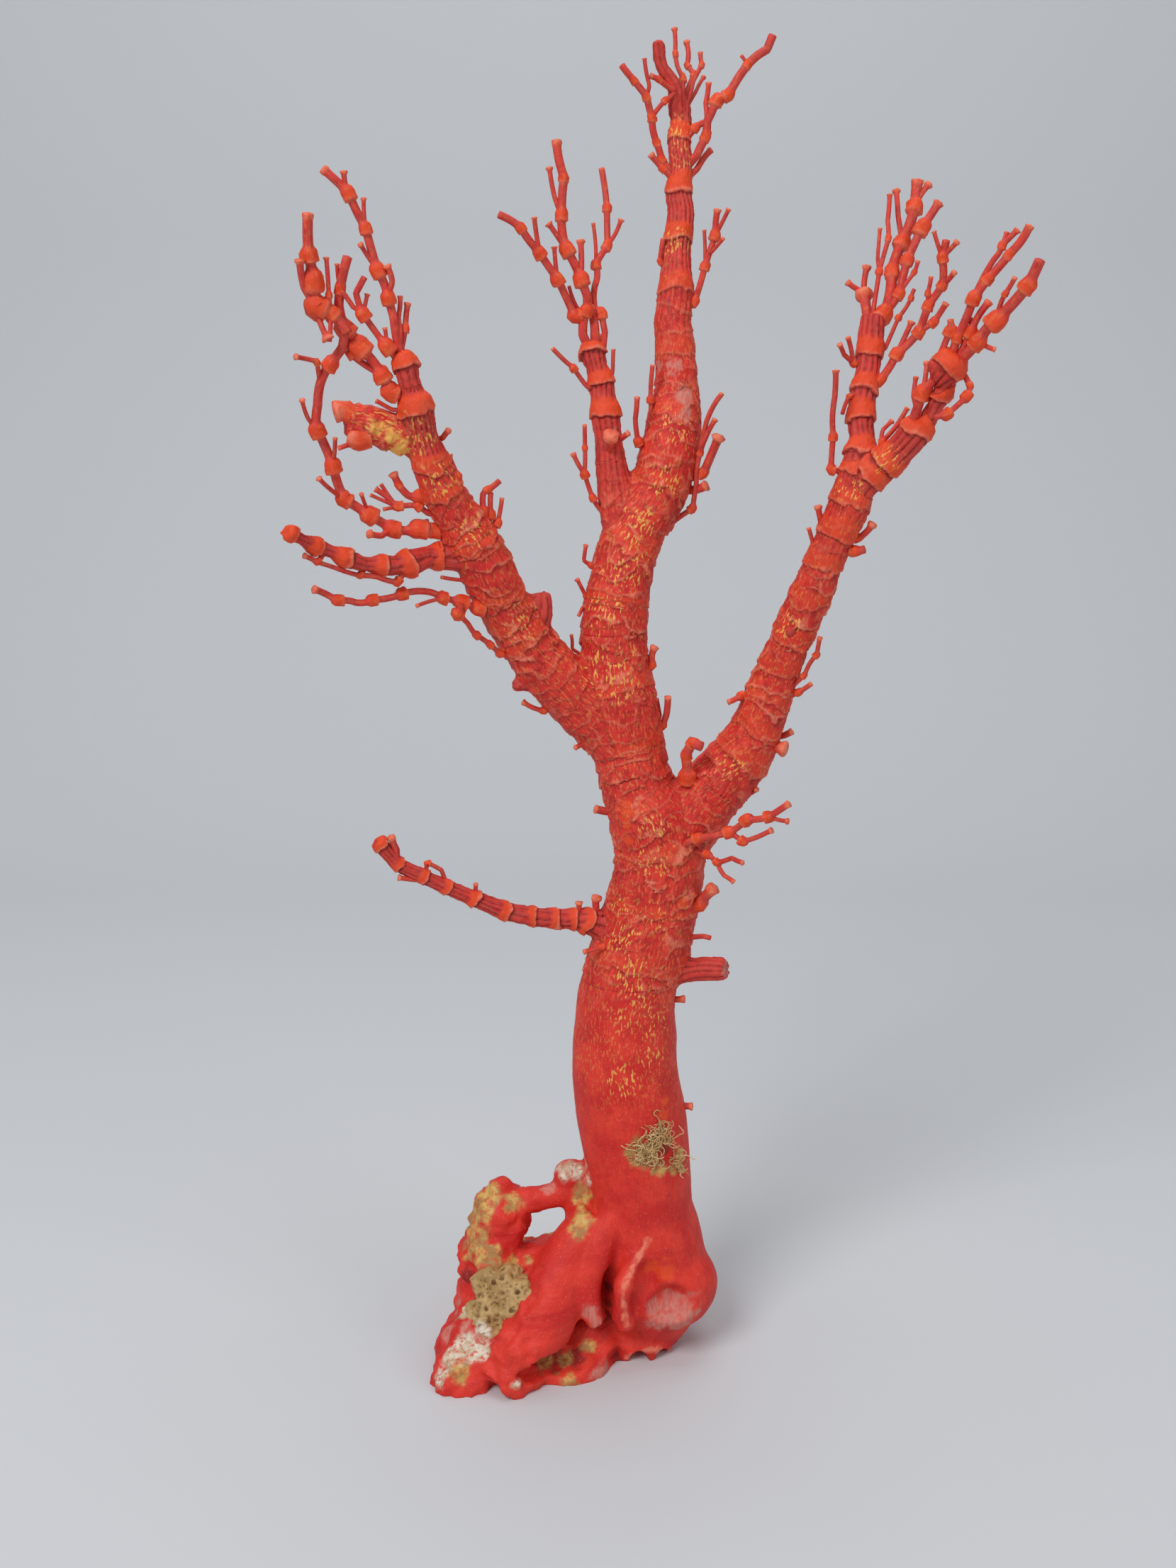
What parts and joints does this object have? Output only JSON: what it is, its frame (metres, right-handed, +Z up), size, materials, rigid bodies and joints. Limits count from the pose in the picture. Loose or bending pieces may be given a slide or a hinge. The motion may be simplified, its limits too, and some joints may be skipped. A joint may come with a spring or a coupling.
{
  "type": "red coral branch",
  "caption": "Branching red coral with ringed limbs and knuckled twigs, standing on the flat cut of its broken holdfast, which grips a piece of porous rock.",
  "frame": {"origin": "on the flat cut under the holdfast, about under the axis of the trunk", "axes": "+Z up along the trunk, +X to the right of a viewer facing the front, -Y towards that viewer"},
  "size_m": [0.1989, 0.1275, 0.4207],
  "materials": {
    "coral": "dull, crusty, with smooth swollen knuckles",
    "rock": "rough, porous, with pale lime crust",
    "fibre": "matt, matted curly fibres"
  },
  "bodies": {
    "root": {"trunk": "coral", "low_branch": "coral", "upper_stem": "coral", "left_limb": "coral", "left_side_branch": "coral", "centre_limb": "coral", "centre_left_limb": "coral", "right_limb": "coral", "right_inner_limb": "coral", "right_outer_limb": "coral", "holdfast_rock": "rock", "fibre_tuft": "fibre"}
  },
  "joints": []
}
